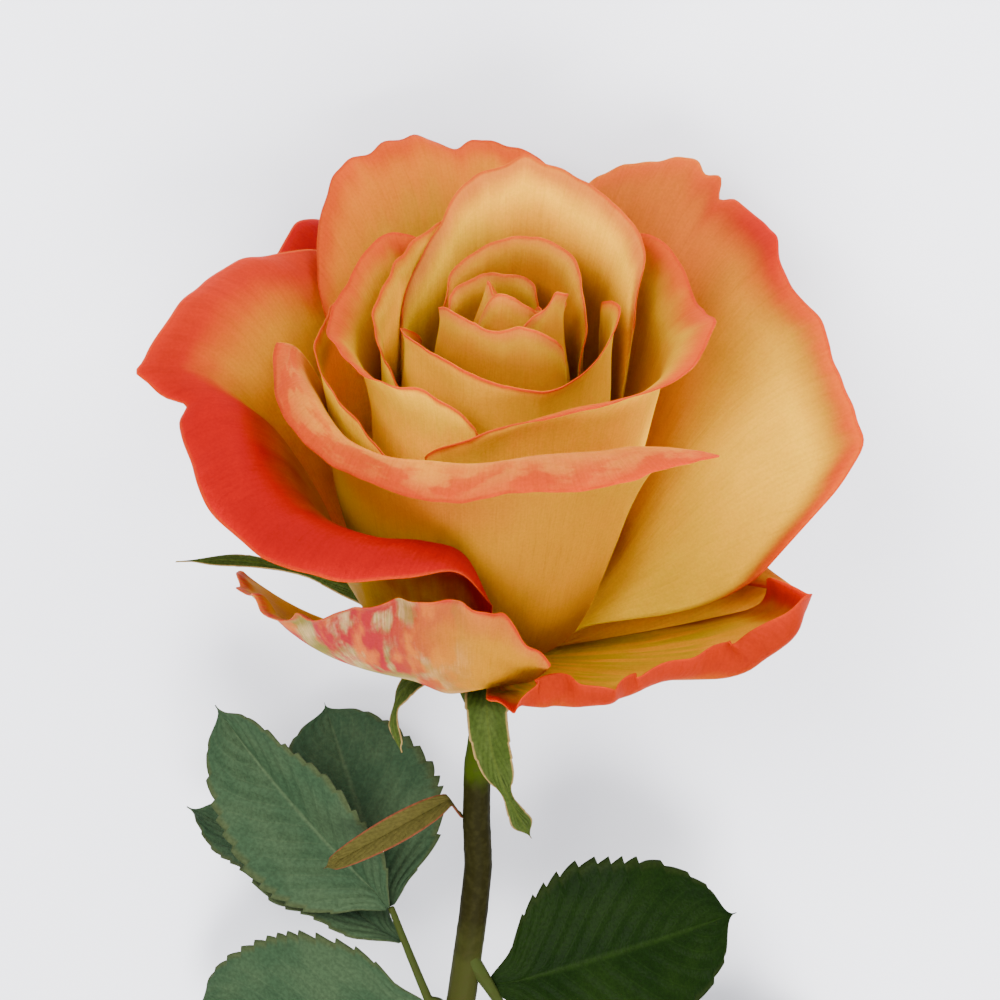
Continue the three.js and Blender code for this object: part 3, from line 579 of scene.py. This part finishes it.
LEAF = leaf_material(
    "leaf_green", (0.0022, 0.0072, 0.0005, 1), (0.012, 0.020, 0.006, 1), (0.008, 0.018, 0.002, 1),
    (0.007, 0.012, 0.002, 1), 0.45)
PALE_LEAF = leaf_material(
    "leaf_grey_green", (0.017, 0.034, 0.016, 1), (0.044, 0.062, 0.040, 1), (0.042, 0.060, 0.028, 1),
    (0.028, 0.036, 0.014, 1), 0.55)
SEPAL = leaf_material(
    "sepal_green", (0.014, 0.027, 0.001, 1), (0.036, 0.052, 0.010, 1), (0.040, 0.052, 0.006, 1),
    (0.220, 0.140, 0.050, 1), 0.55)
BRACT = leaf_material(
    "bract_green", (0.042, 0.036, 0.008, 1), (0.066, 0.042, 0.014, 1), (0.056, 0.044, 0.011, 1),
    (0.110, 0.024, 0.012, 1), 0.55)


def nearest(points, others):
    """The point of one cloud that is nearest to another cloud."""
    gaps = np.linalg.norm(points[:, None] - others[None], axis=2)
    return points[np.unravel_index(gaps.argmin(), gaps.shape)[0]]


def tapered(v):
    """A leaf that narrows to its tip and no more."""
    return np.ones_like(v)


def necked(v):
    """A sepal's outline: it narrows to a neck and ends in a small leaf."""
    return 1 - 0.6 * np.exp(-(((v - 0.66) / 0.1) ** 2)) + 0.6 * np.exp(-(((v - 0.87) / 0.06) ** 2))


THIN = 0.35 * MM  # how thick a leaf is, and its least height above the surface
LEAF_ROWS = 37  # mesh rows across a leaf, the fewest along it, and their spacing
LEAF_COLUMNS = 50
LEAF_CELL = 0.4 * MM


def leaflet(node, carrier, thickness, seed, teeth, material, bulge=0.35, outline=tapered):
    """A leaf sheet whose foot reaches over to the piece that carries it."""
    rng = np.random.default_rng(seed)
    own, held = merged(node)[0], merged(carrier)[0]
    coarse = sheet_grid(node, thickness, nearest(own, held))
    reach = nearest(held, own) - coarse[:, 0].mean(0)
    length = run_length(coarse, 1)[:, -1].max()
    n, m = LEAF_ROWS // FINE, int(max(LEAF_COLUMNS, length / LEAF_CELL)) // FINE
    u = np.linspace(-1, 1, n)
    v = np.linspace(0, 1, m)
    bite = np.zeros(m)
    if teeth:
        phase = (v * teeth + 0.3 * waves(rng, v, 3)) % 1
        bite = 0.09 * (phase ** 0.8 - 0.5) * smooth(v * 8) * smooth((1 - v) * 8)
    point = np.clip(smooth((1 - v) / 0.1), 0.05, 1) * outline(v)
    spread = (1 + bite) * point
    across = 0.5 + 0.5 * (u[:, None] * np.where(np.abs(u[:, None]) > 0.75, spread, point))
    rows = at(coarse.transpose(1, 0, 2), v)
    grid = np.zeros((n, m, 3))
    for j in range(m):
        over = (across[:, j] - np.clip(across[:, j], 0, 1))[:, None] * (rows[j][-1] - rows[j][0])
        grid[:, j] = at(rows[j], across[:, j]) + over
    places = np.broadcast_to(v, (n, m))
    off = np.abs(u)[:, None]
    width = np.linalg.norm(grid[-1] - grid[0], axis=1)
    fan = places * 11 - off * 3.5
    inside = smooth(off * 6) * smooth((1 - off) * 5) * smooth(width / width.max() * 2)
    quilt = np.abs(np.sin(np.pi * fan)) * inside
    sway = waves(rng, v, 3, 1)[None, :] * off ** 2
    crease = -np.exp(-((off / 0.06) ** 2))
    lift = bulge * (quilt + 0.5 * crease) + bulge * 1.6 * sway
    grid = grid + facing(grid) * MM * (lift * smooth(width / width.max() * 3)[None, :])[..., None]
    grid[..., 2] = np.maximum(grid[..., 2], THIN)
    grid = grid + reach * (1 - smooth(v * 14))[None, :, None]
    cross = np.broadcast_to((u[:, None] + 1) / 2, (n, m))
    thick = np.full((n, m), THIN) * (1 - 0.5 * off ** 4)
    obj = build_sheet("rose_" + node, grid, thick, {"along": places, "cross": cross})
    place(obj, node, SLOTS[node], material)


for number, node in enumerate(sorted(NODES)):
    if "leaflet" in node:
        material = PALE_LEAF if node.startswith("leaf_upper_left") else LEAF
        leaflet(node, node.split("_leaflet")[0] + "_rachis", LEAF_THICK, 200 + number, 15, material)
    elif node.startswith("sepal"):
        leaflet(node, "hip", SEPAL_THICK, 200 + number, 7, SEPAL, bulge=0.2, outline=necked)
leaflet("bract", "stem", LEAF_THICK, 300, 0, BRACT, bulge=0.12)


# ---------------------------------------------------------------- stem, hip and rachises
def rounded(node, voxel, passes, material, carrier=None):
    """A copy of a CAD node with its facets smoothed away, and a swollen foot where it is carried."""
    points, triangles = merged(node)
    mesh = bpy.data.meshes.new("rose_" + node)
    mesh.from_pydata(points.tolist(), [], triangles.tolist())
    obj = bpy.data.objects.new("rose_" + node, mesh)
    bpy.context.scene.collection.objects.link(obj)
    remesh = obj.modifiers.new("remesh", "REMESH")
    remesh.voxel_size = voxel
    remesh.use_smooth_shade = True
    soft = obj.modifiers.new("soft", "SMOOTH")
    soft.iterations = passes
    soft.factor = 0.5
    graph = bpy.context.evaluated_depsgraph_get()
    obj.data = bpy.data.meshes.new_from_object(obj.evaluated_get(graph))
    obj.modifiers.clear()
    if carrier:
        held = merged(carrier)[0]
        foot, hold = nearest(points, held), nearest(held, points)
        co = np.array([v.co for v in obj.data.vertices])
        share = smooth(1 - np.linalg.norm(co - foot, axis=1) / (4 * MM))[:, None]
        co = co + (hold - foot) * 2.5 * share + (co - foot) * 0.7 * share
        obj.data.vertices.foreach_set("co", co.ravel())
    place(obj, node, SLOTS[node], material)


def bark_material(name, colours, stops):
    """Colours that change along the stem, from the bloom down. stops are shares of its length."""
    s = Shader(name)
    where = s.node("TexCoord").outputs["Object"]
    y = s.node("SeparateXYZ", Vector=where).outputs["Y"]
    down = s.math("MULTIPLY", s.math("SUBTRACT", float(HIP_FOOT[1]), y), 1 / STEM_SPAN)
    cloud = s.noise(where, 160, 4)
    down = s.math("ADD", down, s.math("MULTIPLY", s.math("SUBTRACT", cloud, 0.5), 0.06))
    colour = colours[0]
    for (low, high), following in zip(stops, colours[1:]):
        colour = s.mix(s.ramp(down, low, high), colour, following)
    flecks = s.noise(where, 900, 3)
    colour = s.mix(s.ramp(flecks, 0.4, 0.75, 0, 0.4), colour, (0.022, 0.020, 0.005, 1))
    return s.finish(colour, 0.55, bump=s.math("ADD", flecks, cloud), depth=0.1, Specular_IOR_Level=0.02)


STEM_SPAN = 0.313  # how far the stem runs below the hip
STEM = bark_material(
    "stem_bark",
    [(0.020, 0.032, 0.001, 1), (0.008, 0.007, 0.001, 1), (0.020, 0.022, 0.004, 1), (0.020, 0.026, 0.004, 1)],
    [(0.03, 0.05), (0.11, 0.14), (0.4, 0.6)])
HIP = bark_material("hip_green", [(0.024, 0.036, 0.002, 1)], [])
RACHIS = bark_material("rachis_green", [(0.022, 0.030, 0.006, 1)], [])
rounded("stem", 0.5 * MM if FINE == 2 else 0.32 * MM, 8, STEM)
rounded("hip", 0.4 * MM, 6, HIP)
for node in NODES:
    if node.endswith("rachis"):
        rounded(node, 0.2 * MM, 4, RACHIS, "stem")


# ---------------------------------------------------------------- floor, light and camera
def flat(name, size, z, colours):
    """A level square whose two colours run into each other."""
    half = size / 2
    corners = [(-half, -half, z), (half, -half, z), (half, half, z), (-half, half, z)]
    mesh = bpy.data.meshes.new(name)
    mesh.from_pydata(corners, [], [(0, 1, 2, 3)])
    obj = bpy.data.objects.new(name, mesh)
    bpy.context.scene.collection.objects.link(obj)
    s = Shader(name)
    grain = s.noise(s.node("TexCoord").outputs["Object"], 40, 3)
    obj.data.materials.append(s.finish(s.mix(grain, *colours), 0.9))


flat("floor", 6, -0.2 * MM, (srgb(226, 226, 232), srgb(232, 232, 237)))

RIGHT = np.array([1.0, 0, 0])
BACK = np.cross(AXIS, RIGHT)
EYE_RISE = math.radians(32)  # the eye stands this far above the plane of the bloom's rim
LEAN = math.radians(3.5)  # and the bloom leans this far over in its view
EYE_DISTANCE = 0.65
EYE_LENS = 154
eye_way = -math.cos(EYE_RISE) * BACK + math.sin(EYE_RISE) * AXIS
up0 = math.sin(EYE_RISE) * BACK + math.cos(EYE_RISE) * AXIS
right = RIGHT * math.cos(LEAN) + up0 * math.sin(LEAN)
up = up0 * math.cos(LEAN) - RIGHT * math.sin(LEAN)
target = BLOOM_FOOT + 1.5 * MM * right + 20.5 * MM * up
camera = bpy.data.objects.new("camera", bpy.data.cameras.new("camera"))
camera.data.sensor_width = 36
camera.data.lens = EYE_LENS
turn = Matrix([[right[k], up[k], eye_way[k]] for k in range(3)]).to_4x4()
camera.matrix_world = Matrix.Translation(Vector(target + eye_way * EYE_DISTANCE)) @ turn
bpy.context.scene.collection.objects.link(camera)
bpy.context.scene.camera = camera


def lamp(name, place, size, power):
    """A soft light that faces the bloom. place is (right, up, towards the eye) in metres."""
    light = bpy.data.objects.new(name, bpy.data.lights.new(name, "AREA"))
    light.data.size = size
    light.data.energy = power
    spot = Vector(target + place[0] * right + place[1] * up + place[2] * eye_way)
    light.location = spot
    light.rotation_mode = "QUATERNION"
    light.rotation_quaternion = (spot - Vector(target)).to_track_quat("Z", "Y")
    bpy.context.scene.collection.objects.link(light)


lamp("key", (-0.45, 0.3, 1.05), 0.6, 22)
lamp("fill", (0.15, -0.8, 0.75), 0.7, 24)
lamp("wash", (0.22, 0.24, 0.26), 0.15, 2)
world = bpy.data.worlds.new("studio")
world.use_nodes = True
world.node_tree.nodes["Background"].inputs["Color"].default_value = srgb(236, 238, 244)
world.node_tree.nodes["Background"].inputs["Strength"].default_value = 2.3
bpy.context.scene.world = world
